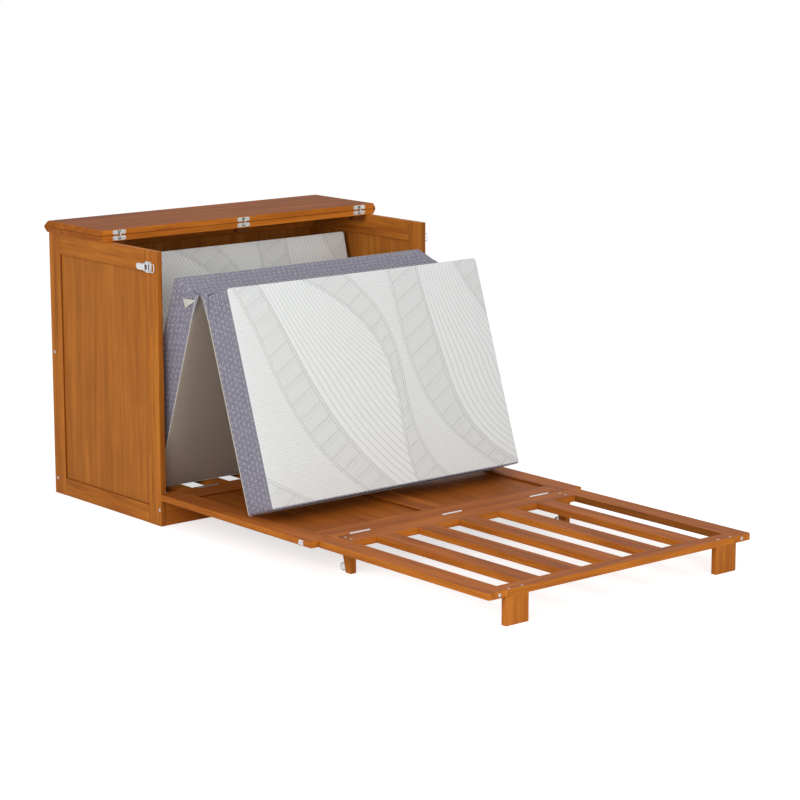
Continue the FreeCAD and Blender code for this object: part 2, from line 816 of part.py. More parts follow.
# Legs, feet and the screws that hold them from above
leg_x = -half_width + leg_inset + frame_inset + leg_thickness / 2
leg_near = frame_near_y - leg_setback
leg_front = leg_near - leg_top_depth
leg_outline = [
    V(leg_x - leg_thickness / 2, leg_front, 0),
    V(leg_x - leg_thickness / 2, leg_front + leg_bottom_depth, 0),
    V(leg_x - leg_thickness / 2, leg_near, frame_bottom),
    V(leg_x - leg_thickness / 2, leg_front, frame_bottom),
]
leg = ease(prism(leg_outline, X_AXIS * leg_thickness), arris)
foot_x = -frame_half + foot_inset
foot = block(V(foot_x, frame_far_y, 0), V(foot_x + foot_width, frame_far_y + frame_thickness, frame_bottom))
foot_edges = [edge for edge in foot.Edges if abs(edge.Length - frame_bottom) < 0.01]
foot = foot.makeChamfer(arris, foot_edges)
foot_screw_y = frame_far_y + frame_thickness / 2
foot_middle = foot_x + foot_width / 2
foot_screw_places = [(foot_middle + side * foot_screw_spread / 2, foot_screw_y) for side in (-1, 1)]
leg_middle = leg_front + leg_top_depth / 2
leg_screw_places = [(leg_x, leg_middle + side * leg_screw_spread / 2) for side in (-1, 1)]
frame_screws = [
    screw(V(x, y, deck_height), Z_AXIS * -1, screw_head_radius, 2 * screw_length)
    for x, y in foot_screw_places + leg_screw_places
]
all_frame_screws = [s for fixing in frame_screws for s in both_sides(fixing)]
frame_cuts = all_frame_screws + frame_bolt_holes + hinge_seats(frame_hinge, -1)
save("foot_frame_rails", group([without(rail, frame_cuts) for rail in frame_rails]))
save("foot_frame_slats", group([without(slat, frame_cuts) for slat in frame_slats]))
save("foot_frame_bolts", group(frame_bolts))
save("foot_frame_screws", group(all_frame_screws))
save("end_feet", group(both_sides(without(foot, frame_screws))))

# Rollers on folded brackets behind the legs
roller_centre = V(leg_x, frame_near_y - roller_setback, roller_radius)
slope = V(0, leg_near - leg_front - leg_bottom_depth, frame_bottom)
slope.normalize()
heel = V(leg_x, leg_front + leg_bottom_depth, 0)
outward = V(0, slope.z, -slope.y)
bracket_half = roller_width / 2 + bracket_play + bracket_sheet
foot_point = heel + slope * (roller_centre - heel).dot(slope)
bracket_low = foot_point - slope * bracket_below
bracket_high = foot_point + slope * bracket_above
bracket_back = prism(
    [
        bracket_low - X_AXIS * bracket_half,
        bracket_high - X_AXIS * bracket_half,
        bracket_high - X_AXIS * bracket_half + outward * bracket_sheet,
        bracket_low - X_AXIS * bracket_half + outward * bracket_sheet,
    ],
    X_AXIS * (2 * bracket_half),
)
reach = (roller_centre - foot_point).dot(outward)
bracket = bracket_back
for side in (-1, 1):
    inner = leg_x + side * (bracket_half - bracket_sheet)
    cheek_corners = (
        bracket_low,
        bracket_high,
        foot_point + outward * reach + slope * (2 * axle_radius),
        foot_point + outward * reach - slope * (2 * axle_radius),
    )
    cheek = prism([V(inner, p.y, p.z) for p in cheek_corners], X_AXIS * (side * bracket_sheet))
    bracket = bracket.fuse(cheek)
    boss = Part.makeCylinder(
        axle_radius * 2, bracket_sheet, V(inner, roller_centre.y, roller_centre.z), X_AXIS * side
    )
    bracket = bracket.fuse(boss)
axle_bore_start = V(leg_x - 2 * bracket_half, roller_centre.y, roller_centre.z)
axle_bore = Part.makeCylinder(axle_radius + pin_play, 4 * bracket_half, axle_bore_start, X_AXIS)
bracket = bracket.cut(axle_bore).removeSplitter()
axle_start = V(leg_x - bracket_half, roller_centre.y, roller_centre.z)
axle = Part.makeCylinder(axle_radius, 2 * bracket_half, axle_start, X_AXIS)
roller_start = V(leg_x - roller_width / 2, roller_centre.y, roller_centre.z)
roller = Part.makeCylinder(roller_radius, roller_width, roller_start, X_AXIS)
rims = [edge for edge in roller.Edges if edge.Curve.TypeId == "Part::GeomCircle"]
roller = roller.makeChamfer(roller_rim, rims)
roller = roller.cut(axle_bore)
leg = without(leg, frame_screws)
save("legs", group(both_sides(leg)))
save("roller_brackets", group(both_sides(bracket)))
save("roller_axles", group(both_sides(axle)))
save("roller_left", roller)
save("roller_right", mirrored(roller))


# Mattress sections: crowned faces, a border drawn in at its middle, rounded upright corners
def rounded_rectangle(at, low_x, high_x, low_h, high_h, depth, radius):
    """Closed outline of lines and quarter arcs at one depth of a section."""
    slant = 1 - math.sqrt(0.5)
    edges = []
    corners = (
        (high_x, low_h, -1, 1), (high_x, high_h, -1, -1), (low_x, high_h, 1, -1), (low_x, low_h, 1, 1),
    )
    starts = []
    ends = []
    for index, (x, h, toward_x, toward_h) in enumerate(corners):
        along_x = at(x + toward_x * radius, h, depth)
        along_h = at(x, h + toward_h * radius, depth)
        middle = at(x + toward_x * radius * slant, h + toward_h * radius * slant, depth)
        first, last = (along_x, along_h) if index % 2 == 0 else (along_h, along_x)
        starts.append(first)
        ends.append(last)
        edges.append((first, middle, last))
    wire_edges = []
    for index, (first, middle, last) in enumerate(edges):
        wire_edges.append(Part.Arc(first, middle, last).toShape())
        following = starts[(index + 1) % 4]
        wire_edges.append(Part.LineSegment(last, following).toShape())
    return Part.Wire(wire_edges)


mattress_stations = (
    (0.0, mattress_crown_run),
    (mattress_crown, mattress_seam * 0.4),
    (mattress_seam * 1.5, 0.0),
    (mattress_thickness / 2, mattress_waist),
    (mattress_thickness - mattress_seam * 1.5, 0.0),
    (mattress_thickness - mattress_crown, mattress_seam * 0.4),
    (mattress_thickness, mattress_crown_run),
)


def section_axes(lean, toward_quilt):
    """Directions up a section and out through its quilted face.

    lean tips the top to the rear, in degrees; toward_quilt is +1 when the quilted face
    looks to the rear and -1 when it looks forward.
    """
    tip = math.radians(lean)
    up = V(0, math.sin(tip), math.cos(tip))
    out = V(0, math.cos(tip), -math.sin(tip)) * toward_quilt
    return up, out


def lowest_rise(up, out):
    """Height of the lowest point of a section above its nominal heel corner."""
    return min(draw * up.z + depth * out.z for depth, draw in mattress_stations)


def mattress_piece(heel, up, out):
    """Section standing on its heel corner, the plain face at the heel and the quilted one opposite."""
    half = mattress_width / 2

    def at(x, h, depth):
        return heel + X_AXIS * x + up * h + out * depth

    outlines = []
    for depth, draw in mattress_stations:
        side = half - draw
        top = mattress_section - draw
        outlines.append(rounded_rectangle(at, -side, side, draw, top, depth, mattress_corner))
    return Part.makeLoft(outlines, True, True)


def strip_outline(first, first_down, second, second_down, half_x):
    """Outline of a cloth strip sewn along two edges; each pair holds an edge's inner and outer line."""
    near = [first[1], first[0], second[0], second[1]]
    far = [
        second[1] + second_down, second[0] + second_down, first[0] + first_down, first[1] + first_down,
    ]
    return [point - half_x for point in near + far]


deck_rest = deck_height + rest_gap
middle_up, middle_out = section_axes(-middle_lean_degrees, 1)
rear_up, rear_quilt_out = section_axes(rear_lean_degrees, -1)
front_up, front_out = section_axes(front_lean_degrees, -1)
middle_heel = V(0, front_y + middle_heel_back, deck_rest - lowest_rise(middle_up, middle_out))
middle_quilt_foot = middle_heel + middle_out * mattress_thickness
rear_quilt_foot = middle_quilt_foot + Y_AXIS * fold_gap
rear_heel = rear_quilt_foot - rear_quilt_out * mattress_thickness
front_heel = V(0, front_y - front_heel_ahead, deck_rest - lowest_rise(front_up, front_out))
save("mattress_middle", mattress_piece(middle_heel, middle_up, middle_out))
save("mattress_rear", mattress_piece(rear_heel, rear_up, rear_quilt_out))
save("mattress_front", mattress_piece(front_heel, front_up, front_out))

# Cloth folds: one under the feet of the rear and middle sections, one over the tops of the other two
half_strip = X_AXIS * (mattress_width / 2 - mattress_corner)
seam_in = mattress_seam * 1.5
strip_reach = seam_in + strip_width
under_middle = [
    middle_heel + middle_out * (mattress_thickness - depth) - middle_up * rest_gap
    for depth in (seam_in, strip_reach)
]
under_rear = [
    rear_heel + rear_quilt_out * (mattress_thickness - depth) - rear_up * rest_gap
    for depth in (seam_in, strip_reach)
]
fold_strip = prism(
    strip_outline(
        under_middle, middle_up * -strip_thickness, under_rear, rear_up * -strip_thickness, half_strip
    ),
    half_strip * 2,
)
save("mattress_fold_strip", fold_strip)
lift = mattress_section + rest_gap
over_front = [front_heel + front_up * lift + front_out * depth for depth in (seam_in, strip_reach)]
over_middle = [middle_heel + middle_up * lift + middle_out * depth for depth in (seam_in, strip_reach)]
top_fold = prism(
    strip_outline(
        over_front, front_up * strip_thickness, over_middle, middle_up * strip_thickness, half_strip
    ),
    half_strip * 2,
)
save("mattress_top_fold", top_fold)
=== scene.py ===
import bpy
from math import cos, pi, radians, sin
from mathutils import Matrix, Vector


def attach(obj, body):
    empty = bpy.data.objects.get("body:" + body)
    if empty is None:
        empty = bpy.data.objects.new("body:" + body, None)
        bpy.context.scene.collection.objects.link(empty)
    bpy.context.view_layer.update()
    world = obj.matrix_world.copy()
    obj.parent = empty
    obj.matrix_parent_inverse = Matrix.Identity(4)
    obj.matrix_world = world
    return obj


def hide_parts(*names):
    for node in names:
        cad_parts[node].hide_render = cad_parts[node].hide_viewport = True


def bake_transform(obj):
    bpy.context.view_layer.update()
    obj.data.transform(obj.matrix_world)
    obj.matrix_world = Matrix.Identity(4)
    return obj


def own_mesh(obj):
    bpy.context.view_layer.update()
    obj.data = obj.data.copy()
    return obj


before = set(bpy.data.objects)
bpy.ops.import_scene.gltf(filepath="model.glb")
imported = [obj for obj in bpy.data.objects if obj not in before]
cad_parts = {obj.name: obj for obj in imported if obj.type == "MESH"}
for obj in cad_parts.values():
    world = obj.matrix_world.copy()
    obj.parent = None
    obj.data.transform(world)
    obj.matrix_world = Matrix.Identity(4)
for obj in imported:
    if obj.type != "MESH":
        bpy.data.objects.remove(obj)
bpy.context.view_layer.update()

# The cabinet's two sides: a mortised frame of stained pine, stiles upright and rails between them,
# planed flush and rubbed down with a satin lacquer. The panel floats in grooves and shows as a
# sunk field with a dark line round it; the dark line is painted shade.


class Wire:
    """A shader socket that can be written into sums and handed on to other nodes."""

    def __init__(self, socket):
        self.socket = socket

    def node(self, kind, settings={}, inputs={}, out=0):
        made = self.socket.id_data.nodes.new("ShaderNode" + kind)
        for name, value in settings.items():
            setattr(made, name, value)
        for name, value in inputs.items():
            if isinstance(value, Wire):
                self.socket.id_data.links.new(value.socket, made.inputs[name])
            else:
                made.inputs[name].default_value = value
        return Wire(made.outputs[out])

    def math(self, operation, other=0.0):
        return self.node("Math", {"operation": operation}, {0: self, 1: other})

    def __add__(self, other):
        return self.math("ADD", other)

    def __sub__(self, other):
        return self.math("SUBTRACT", other)

    def __rsub__(self, other):
        return self.node("Math", {"operation": "SUBTRACT"}, {0: other, 1: self})

    def __mul__(self, other):
        return self.math("MULTIPLY", other)

    def __truediv__(self, other):
        return self.math("DIVIDE", other)

    def __gt__(self, other):
        return self.math("GREATER_THAN", other)

    def __lt__(self, other):
        return self.math("LESS_THAN", other)

    def __abs__(self):
        return self.math("ABSOLUTE")

    __radd__ = __add__
    __rmul__ = __mul__

    def clear(self):
        return self.node("Clamp", {}, {0: self})

    def ease(self, low, high):
        return self.node("MapRange", {"interpolation_type": "SMOOTHSTEP"}, {0: self, 1: low, 2: high})

    def vector(self, operation, other=(0, 0, 0), out=0):
        return self.node("VectorMath", {"operation": operation}, {0: self, 1: other}, out)

    def part(self, axis):
        return self.node("SeparateXYZ", {}, {0: self}, "XYZ".index(axis))

    def colours(self, low, high):
        """Colour low where this is 0 and high where it is 1."""
        return self.node("Mix", {"data_type": "RGBA"}, {0: self, 6: low, 7: high}, 2)

    def places(self, low, high):
        return self.node("Mix", {"data_type": "VECTOR"}, {0: self, 4: low, 5: high}, 1)

    def noise(self, scale, detail=2.0, rough=0.5, bend=0.0):
        return self.node("TexNoise", {}, {
            "Vector": self, "Scale": scale, "Detail": detail, "Roughness": rough, "Distortion": bend,
        })


def dye(red, green, blue):
    """A colour as it is read off a screen, 0 to 255, for a shader."""
    return (*(((v / 255 + 0.055) / 1.055) ** 2.4 if v > 10 else v / 3295 for v in (red, green, blue)), 1.0)


def blank(name, **fixed):
    """A new material, its shader with the fixed values set, and its object coordinates."""
    made = bpy.data.materials.new(name)
    made.use_nodes = True
    shader = made.node_tree.nodes["Principled BSDF"]
    for key, value in fixed.items():
        shader.inputs[key.replace("_", " ")].default_value = value
    return made, shader, Wire(made.node_tree.nodes.new("ShaderNodeTexCoord").outputs["Object"])


def feed(shader, **wires):
    for key, wire in wires.items():
        shader.id_data.links.new(wire.socket, shader.inputs[key.replace("_", " ")])


def stained(name, light, dark, along, across=None, rails=None, joints=None, recess_shade=None, end_grain_and_edge_shade=None,
            top=None, top_shade_colours=((192, 108, 42), (128, 66, 26)), gloss=0.10, offset=0.0):
    """Stained pine. along is the grain's axis; where rails(place) is 1 it runs along across instead.

    joints(place) is 1 in the hairlines where members meet; the recess mask is 1 in recesses, painted darker
    as shade;
    the end grain mask is 1 on end grain and on front edges painted darker as shade; top(place) on the top
    face, painted darker and redder as shade.
    """
    finish, shader, place = blank(name, Specular_IOR_Level=gloss, Coat_Weight=0.02, Coat_Roughness=0.4)
    squeeze = {"X": (0.055, 1, 1), "Y": (1, 0.055, 1), "Z": (1, 1, 0.055)}
    seat = place.vector("ADD", (offset, offset * 0.7, offset * 1.3))
    lie = seat.vector("MULTIPLY", squeeze[along])
    if rails:
        turned = seat.vector("MULTIPLY", squeeze[across]).vector("ADD", (0.37, 0.11, 0.53))
        lie = rails(place).places(lie, turned)
    flame = lie.noise(30, 3, 0.55, 0.4)
    streak = lie.noise(120, 4, 0.62)
    rings = (lie.noise(6, 1.5, 0.45, 0.2) * 60 + flame * 5).math("SINE") * 0.5 + 0.5
    fibre = lie.noise(760, 2, 0.6)
    pores = lie.noise(1300, 1, 0.5).ease(0.64, 0.72)
    cloud = seat.noise(7, 2).ease(0.38, 0.66)
    tone = (flame * 1.7 + streak * 1.5 + rings * 0.22 - 1.22).clear()
    wood = tone.colours(dye(*dark), dye(*light))
    # The top face takes the darker, redder top colours: painted shade.
    if top:
        wood = top(place).colours(wood, tone.colours(dye(*top_shade_colours[1]), dye(*top_shade_colours[0])))
    wood = (cloud * 0.16).colours(wood, dye(light[0] * 0.78, light[1] * 0.70, light[2] * 0.62))
    wood = (pores * 0.35).colours(wood, dye(dark[0] * 0.62, dark[1] * 0.55, dark[2] * 0.5))
    # Darker end grain; where the mask covers front edges instead, the darkening is painted shade.
    if end_grain_and_edge_shade:
        wood = (end_grain_and_edge_shade(place) * 0.35).colours(wood, dye(dark[0] * 0.72, dark[1] * 0.66, dark[2] * 0.6))
    # Painted shade: recesses are darkened.
    if recess_shade:
        wood = (recess_shade(place) * 0.75).colours(wood, dye(dark[0] * 0.55, dark[1] * 0.46, dark[2] * 0.4))
    soft = place.node("Bevel", {"samples": 6}, {"Radius": 0.0016})
    arris = (1 - soft.vector("DOT_PRODUCT", place.node("NewGeometry", {}, {}, 1), 1)).ease(0.004, 0.12)
    wood = (arris * 0.4).colours(wood, dye(min(light[0] * 1.08, 255), light[1] * 1.04, light[2]))
    height = streak * 0.25 + fibre * 0.3 + rings * 0.12 - pores * 0.5
    if joints:
        line = joints(place)
        wood = (line * 0.6).colours(wood, dye(dark[0] * 0.45, dark[1] * 0.4, dark[2] * 0.4))
        height = height - line * 3
    feed(
        shader,
        Base_Color=wood,
        Roughness=fibre * 0.12 + streak * 0.14 + 0.44 - arris * 0.06,
        Normal=place.node("Bump", {}, {
            "Strength": 0.35, "Distance": 0.0002, "Height": height, "Normal": soft,
        }),
    )
    return finish


def dress(node, finish):
    """Gives a CAD node its finish."""
    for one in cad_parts[node].material_slots:
        one.material = finish


def hairline(value, at, width=0.0005):
    return abs(value - at) < width


def between(value, low, high):
    return (value > low) * (value < high)


stile_front, stile_back = 0.508, 0.987
bottom_line, top_line = 0.058, 0.793
reveal_inner, reveal_outer = 0.5182, 0.5370
reveal_front, reveal_back, reveal_low, reveal_high = 0.4446, 1.02, 0.001, 0.859
shaded_front_edges = 0.4443
# The darker front edges of the stiles and the dark line round the sunk panel are painted shade.
side_finish = stained(
    "side frame pine", (208, 128, 46), (158, 88, 26), "Z", "Y",
    rails=lambda p: (p.part("Y") > stile_front) * (p.part("Y") < stile_back),
    joints=lambda p: (hairline(p.part("Y"), stile_front) + hairline(p.part("Y"), stile_back))
    * ((p.part("Z") < bottom_line) + (p.part("Z") > top_line)).clear(),
    recess_shade=lambda p: between(abs(p.part("X")), reveal_inner, reveal_outer)
    * between(p.part("Y"), reveal_front, reveal_back) * between(p.part("Z"), reveal_low, reveal_high),
    end_grain_and_edge_shade=lambda p: (p.part("Y") < shaded_front_edges),
)
panel_finish = stained("side panel pine", (198, 122, 46), (164, 96, 34), "Z", offset=0.83)
for side in ("left", "right"):
    dress("side_frame_" + side, side_finish)
    dress("side_panel_" + side, panel_finish)

# The plinth, the back's rails and posts and the slatted floor inside: plain pine boards in the
# same stain, dowelled and screwed, with a thin stained board let into the back.
post_front, post_inner = 1.02, 0.44
inner_finish = stained(
    "inside pine", (204, 120, 40), (156, 84, 26), "X", "Z",
    rails=lambda p: (p.part("Y") > post_front) * (abs(p.part("X")) > post_inner), offset=1.9,
)
deck_finish = stained("deck slat pine", (198, 120, 42), (152, 84, 26), "Y", offset=2.7)
for node in ("back_rails", "front_rail"):
    dress(node, inner_finish)
# The hinge blocks are coloured a dark brown, which is painted shade under the lid.
dress("lid_hinge_blocks", stained("hinge block pine", (112, 60, 22), (78, 40, 14), "X", offset=2.2))
for node in ("deck_ledgers", "deck_slats"):
    dress(node, deck_finish)
dress("back_sheet", stained("back board", (204, 126, 50), (160, 92, 34), "Z", offset=4.2))

# Connector bolts through the sides and the foot of the frame: a flat zinc-plated head with a
# six-sided drive socket, sunk just below the face.


def plated(name, shade, rough, along=(1, 12, 12)):
    """Bright plated steel: fine rolled marks, a little bloom, and dull grime kept off the edges."""
    finish, shader, place = blank(name, Metallic=1.0)
    lines = place.vector("MULTIPLY", along).noise(260, 3, 0.6)
    bloom = place.noise(60, 2)
    soft = place.node("Bevel", {"samples": 4}, {"Radius": 0.0005})
    arris = (1 - soft.vector("DOT_PRODUCT", place.node("NewGeometry", {}, {}, 1), 1)).ease(0.01, 0.15)
    metal = (bloom * 0.6 + lines * 0.35).clear().colours(dye(*[v * 0.84 for v in shade]), dye(*shade))
    metal = (arris * 0.5).colours(metal, dye(*[min(v * 1.08, 250) for v in shade]))
    feed(
        shader,
        Base_Color=metal,
        Roughness=lines * 0.14 + bloom * 0.12 + rough - arris * 0.06,
        Normal=place.node("Bump", {}, {
            "Strength": 0.2, "Distance": 0.00005, "Height": lines, "Normal": soft,
        }),
    )
    return finish


def choose(piece, kind, test):
    """Selects the vertices, edges or faces of the piece being edited that pass a test."""
    bpy.ops.mesh.select_mode(type=kind)
    bpy.ops.mesh.select_all(action="DESELECT")
    bpy.ops.object.mode_set(mode="OBJECT")
    mesh = piece.data
    for one in {"VERT": mesh.vertices, "EDGE": mesh.edges, "FACE": mesh.polygons}[kind]:
        one.select = bool(test(one, mesh))
    bpy.ops.object.mode_set(mode="EDIT")


def ends_of(edge, mesh):
    return [mesh.vertices[i].co for i in edge.vertices]


def round_top(face, mesh):
    """True for the many-sided face on top of a turned head."""
    return face.normal.z > 0.99 and len(face.vertices) > 8


def alone(piece):
    bpy.ops.object.select_all(action="DESELECT")
    piece.select_set(True)
    bpy.context.view_layer.objects.active = piece


def settle(piece, location, turn=(0, 0, 0)):
    """Puts a finished piece in its place and leaves its object at the origin."""
    alone(piece)
    piece.location, piece.rotation_euler = location, turn
    bpy.ops.object.transform_apply(location=True, rotation=True, scale=True)


def joined(pieces):
    """The pieces as one, which is the first of them."""
    bpy.ops.object.select_all(action="DESELECT")
    for piece in pieces:
        piece.select_set(True)
    bpy.context.view_layer.objects.active = pieces[0]
    bpy.ops.object.join()
    return pieces[0]


def several(model, name, spots, turns):
    """Copies of one modelled piece at each spot, joined into one named piece."""
    made = []
    for spot, turn in zip(spots, turns):
        copy = model.copy()
        copy.data = model.data.copy()
        bpy.context.collection.objects.link(copy)
        settle(copy, spot, turn)
        made.append(copy)
    whole = joined(made)
    whole.name = name
    return whole


bolt_finish = plated("bolt steel", (206, 207, 209), 0.28, (8, 8, 8))
bolt_radius, bolt_height, rim_bevel, near = 0.0055, 0.0022, 0.0005, 0.0001
socket_across, socket_lip, socket_deep, socket_reach = 0.0022, 0.0003, 0.0016, 0.0030
bpy.ops.object.select_all(action="DESELECT")
bpy.ops.mesh.primitive_cylinder_add(vertices=30, radius=bolt_radius, depth=bolt_height,
                                    location=(0, 0, -bolt_height / 2))
bolt_head = bpy.context.object
bpy.ops.object.transform_apply(location=True, rotation=True, scale=True)
bpy.ops.object.mode_set(mode="EDIT")
choose(bolt_head, "EDGE", lambda e, m: all(v.z > -near for v in ends_of(e, m)))
bpy.ops.mesh.bevel(offset=rim_bevel, offset_type="OFFSET", segments=3, affect="EDGES")
choose(bolt_head, "FACE", round_top)
bpy.ops.mesh.inset(thickness=bolt_radius - rim_bevel - socket_across - socket_lip)
choose(bolt_head, "FACE", round_top)
bpy.ops.mesh.inset(thickness=socket_lip)
choose(bolt_head, "FACE", round_top)
bpy.ops.mesh.extrude_region_move(TRANSFORM_OT_translate={"value": (0, 0, -socket_deep)})
bpy.ops.object.mode_set(mode="OBJECT")
for spot in bolt_head.data.vertices:
    flat = spot.co.xy
    on_rim = spot.co.z > -near and flat.length < socket_across + near
    on_floor = -socket_deep - 0.0003 < spot.co.z < -socket_deep + 0.0002 and flat.length < socket_reach
    if on_rim or on_floor:
        turned = (flat.angle_signed(Vector((1, 0))) % (pi / 3)) - pi / 6
        reach = socket_across * cos(pi / 6) / cos(turned)
        spot.co.x, spot.co.y = flat.normalized() * reach
alone(bolt_head)
bpy.ops.object.shade_smooth_by_angle(angle=radians(35))
bolt_head.data.materials.append(bolt_finish)

side_face, end_face, sunk = 0.5375, 1.051, 0.0004
rows = ((0.4535, 0.0508), (1.035, 0.0508), (1.035, 0.469))
end_bolt_out, end_bolt_up = 0.4735, 0.0916
side_heads = several(
    bolt_head, "side_bolt_heads",
    [(side * (side_face - sunk), y, z) for side in (-1, 1) for y, z in rows],
    [(0, side * pi / 2, 0) for side in (-1, 1) for _ in rows],
)
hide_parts("side_bolts")
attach(side_heads, "cabinet")
end_heads = several(
    bolt_head, "foot_frame_bolt_heads",
    [(side * end_bolt_out, sunk - end_face, end_bolt_up) for side in (-1, 1)], [(pi / 2, 0, 0)] * 2,
)
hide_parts("foot_frame_bolts")
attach(end_heads, "foot_frame")
bpy.data.objects.remove(bolt_head)

# The lid: two full-width boards, one folded back on the other, their ends and free edges bevelled.
# Its top face is painted darker and redder as shade, and the wood has long soft streaks from end to end.
lid_top, boards_meet, boards_gap, lid_ends = 0.8963, 0.8783, 0.0009, 0.5455
lid_finish = stained(
    "lid pine", (216, 128, 44), (166, 90, 26), "X", offset=5.1,
    top=lambda p: (p.part("Z") > lid_top), top_shade_colours=((172, 96, 42), (120, 66, 28)), gloss=0.05,
    joints=lambda p: hairline(p.part("Z"), boards_meet, boards_gap),
    end_grain_and_edge_shade=lambda p: (abs(p.part("X")) > lid_ends),
)
for node in ("lid_front", "lid_rear"):
    dress(node, lid_finish)

# The lid's hinges: a die-cast cup let into the edge of each board with two cross-headed screws,
# and a turned-over link between the pair. Bright, slightly grainy castings.
cup_finish = plated("cup metal", (234, 234, 231), 0.36, (6, 6, 6))
for node in ("lid_hinge_cups_rear", "lid_hinge_cups_front", "lid_hinge_links"):
    dress(node, cup_finish)

screw_finish = plated("screw steel", (214, 214, 212), 0.34, (8, 8, 8))
head_height, dome, slot_width, slot_reach, slot_deep = 0.0018, 0.0002, 0.0009, 0.0021, 0.0011


def cross_head(radius):
    """A countersunk screw head: a slightly domed disc with a tapered underside and a cross recess."""

    def inside(face, mesh):
        return (face.normal.z > 0.99 and face.center.z > 0
                and all(mesh.vertices[i].co.xy.length < slot_reach * 1.02 for i in face.vertices))

    bpy.ops.object.select_all(action="DESELECT")
    bpy.ops.mesh.primitive_cone_add(vertices=28, radius1=radius * 0.55, radius2=radius,
                                    depth=head_height, location=(0, 0, -head_height / 2))
    head = bpy.context.object
    bpy.ops.object.transform_apply(location=True, rotation=True, scale=True)
    bpy.ops.object.mode_set(mode="EDIT")
    choose(head, "FACE", lambda f, m: f.normal.z > 0.99)
    bpy.ops.mesh.inset(thickness=radius * 0.1)
    bpy.ops.transform.translate(value=(0, 0, dome))
    choose(head, "FACE", round_top)
    bpy.ops.mesh.inset(thickness=radius * 0.9 - slot_reach)
    for across in (-1, 1):
        for axis in ((1, 0, 0), (0, 1, 0)):
            choose(head, "FACE", lambda f, m: inside(f, m) and f.center.xy.length < slot_reach * 0.97)
            bpy.ops.mesh.bisect(plane_co=[across * slot_width / 2 * v for v in axis], plane_no=axis)
    choose(head, "FACE", lambda f, m: inside(f, m)
           and min(abs(f.center.x), abs(f.center.y)) < slot_width / 2)
    bpy.ops.mesh.extrude_region_move(TRANSFORM_OT_translate={"value": (0, 0, -slot_deep)})
    bpy.ops.object.mode_set(mode="OBJECT")
    alone(head)
    bpy.ops.object.shade_smooth_by_angle(angle=radians(30))
    head.data.materials.append(screw_finish)
    return head


cup_head = cross_head(0.003)
cup_pitch, screw_reach, cup_face = 0.483, 0.0195, 0.7253
for node, z, body in (("lid_screws_rear", 0.869, "cabinet"), ("lid_screws_front", 0.8876, "lid_flap")):
    heads = several(
        cup_head, node.replace("lid_screws", "lid_screw_heads"),
        [(x + reach, cup_face, z)
         for x in (-cup_pitch, 0, cup_pitch) for reach in (-screw_reach, screw_reach)],
        [(pi / 2, 0, 0)] * 6,
    )
    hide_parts(node)
    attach(heads, body)
bpy.data.objects.remove(cup_head)

# The door that has become the middle of the bed: stiles and a centre stile along the bed, a rail
# across each end and two thin sunk panels, lying face down.
door_half, door_stile = 0.5375, 0.077
rail_near, rail_far = 0.360, -0.225
board_low, board_high, board_face, reveal = 0.0822, 0.1010, 0.1012, 0.0003


def on_rails(place):
    return ((place.part("Y") > rail_near) + (place.part("Y") < rail_far)).clear()


# The darker rebate round the panels and the darker, redder top face are painted shade.
door_finish = stained(
    "door frame pine", (208, 124, 40), (160, 86, 24), "Y", "X",
    rails=lambda p: (abs(p.part("X")) < door_half - door_stile) * on_rails(p),
    joints=lambda p: hairline(abs(p.part("X")), door_half - door_stile) * on_rails(p),
    recess_shade=lambda p: (abs(p.part("X")) < door_half - door_stile + reveal)
    * between(p.part("Y"), rail_far - reveal, rail_near + reveal)
    * between(p.part("Z"), board_low, board_high),
    top=lambda p: (p.part("Z") > board_face), offset=3.3,
)
dress("door_frame", door_finish)
dress("door_panels", stained("door panel pine", (170, 94, 28), (128, 66, 16), "Y", offset=6.4))

# Butt hinges under the door and between it and the foot frame: pressed leaves let into the board
# edges, with rolled knuckles and a steel pin. They stand up as bright barrels.
hinge_finish = plated("hinge steel", (236, 238, 240), 0.34)
for pair in ("door", "frame"):
    for part in ("leaves_cabinet", "leaves_door", "leaves_frame", "pins"):
        if f"{pair}_hinge_{part}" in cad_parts:
            dress(f"{pair}_hinge_{part}", hinge_finish)

# A draw latch on each side of the cabinet and its catch on the door's edge: pressed steel base
# and lever, a drawn wire bail, all bright plated.
latch_finish = plated("latch steel", (232, 233, 235), 0.26)
dress("catch_plates", latch_finish)
for side in ("left", "right"):
    for part in ("base", "pin", "lever", "bail"):
        dress(f"latch_{part}_{side}", latch_finish)

# The slatted foot frame: two side rails, cross and end rails tenoned into them and five slats, with
# the outer corners rounded over.
frame_half, frame_rail = 0.5125, 0.070
# The darker, redder top faces of the rails and of the slats below are painted shade.
foot_finish = stained(
    "foot frame pine", (210, 126, 42), (162, 88, 24), "Y", "X",
    rails=lambda p: (abs(p.part("X")) < frame_half - frame_rail),
    joints=lambda p: hairline(abs(p.part("X")), frame_half - frame_rail),
    top=lambda p: (p.part("Z") > board_face), offset=7.7,
)
dress("foot_frame_rails", foot_finish)
cross_rail_edge, end_rail_edge = -0.381, -1.003
dress("foot_frame_slats", stained(
    "foot slat pine", (208, 124, 42), (160, 86, 24), "Y", offset=8.8,
    top=lambda p: (p.part("Z") > board_face),
    joints=lambda p: hairline(p.part("Y"), cross_rail_edge, 0.0012)
    + hairline(p.part("Y"), end_rail_edge, 0.0008),
))

